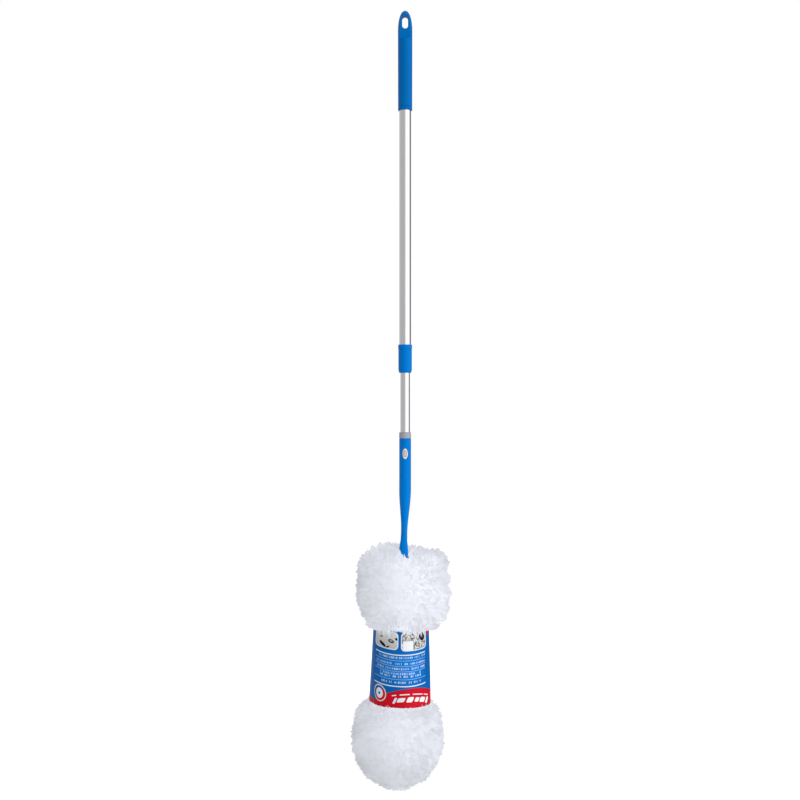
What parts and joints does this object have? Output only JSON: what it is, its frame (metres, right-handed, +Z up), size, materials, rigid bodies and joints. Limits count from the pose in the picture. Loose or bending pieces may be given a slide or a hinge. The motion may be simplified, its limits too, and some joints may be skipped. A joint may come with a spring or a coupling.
{
  "type": "feather duster",
  "caption": "Feather duster: a microfibre sleeve on a bendable core, a plug-in handle with a release button, and a twist-lock telescopic pole with a hang slot in its grip.",
  "frame": {"origin": "the hook's bearing point, at the top inside of the grip's hang slot, on the pole's axis", "axes": "+Z up the pole from the head towards the grip; -Y is the front, where the release button is; +X is to the right seen from the front"},
  "size_m": [0.1298, 0.1224, 1.0512],
  "materials": {
    "grip_blue": "satin",
    "handle_blue": "satin",
    "anodised_aluminium": "satin",
    "adapter_grey": "matte",
    "bezel_white": "satin",
    "button_tan": "satin",
    "nylon_white": "matte",
    "spring_steel": "satin",
    "lining_cloth": "matte",
    "microfibre": "matte",
    "label_card": "satin"
  },
  "bodies": {
    "grip_pole": {"hanging_grip": "grip_blue", "outer_tube": "anodised_aluminium", "tube_collar": "handle_blue", "guide_bush": "nylon_white"},
    "lock": {"lock_collet": "nylon_white"},
    "lower_pole": {"lock_plug": "nylon_white", "retaining_clip": "spring_steel", "inner_tube": "anodised_aluminium", "pole_adapter": "adapter_grey", "button_spring": "spring_steel", "button_bezel": "bezel_white", "handle_shell": "handle_blue", "core_strip": "spring_steel", "core_sheath": "nylon_white", "sheath_tip_cap": "nylon_white"},
    "button": {"snap_button": "button_tan"},
    "fibre_sleeve": {"lining_sleeve": "lining_cloth", "mouth_band": "lining_cloth", "pile_upper": "microfibre", "pile_waist": "microfibre", "pile_lower": "microfibre", "label_sleeve": "label_card"}
  },
  "joints": [
    {"name": "telescope", "type": "slide", "parent": "grip_pole", "child": "lock", "axis": [0, 0, -1], "range_m": [-0.079, 0.27]},
    {"name": "twist_lock", "type": "hinge", "parent": "lock", "child": "lower_pole", "pos_m": [0, 0, -0.1475], "axis": [0, 0, -1], "range_deg": [0, 180]},
    {"name": "button_press", "type": "slide", "parent": "lower_pole", "child": "button", "axis": [0, 1, 0], "range_m": [0, 0.0021], "stiffness_N_per_m": 200, "springref_m": -0.004, "deforming": ["button_spring"]},
    {"name": "sleeve_pull", "type": "slide", "parent": "lower_pole", "child": "fibre_sleeve", "axis": [-0.0314, 0, -0.9995], "range_m": [0, 0.31]}
  ]
}
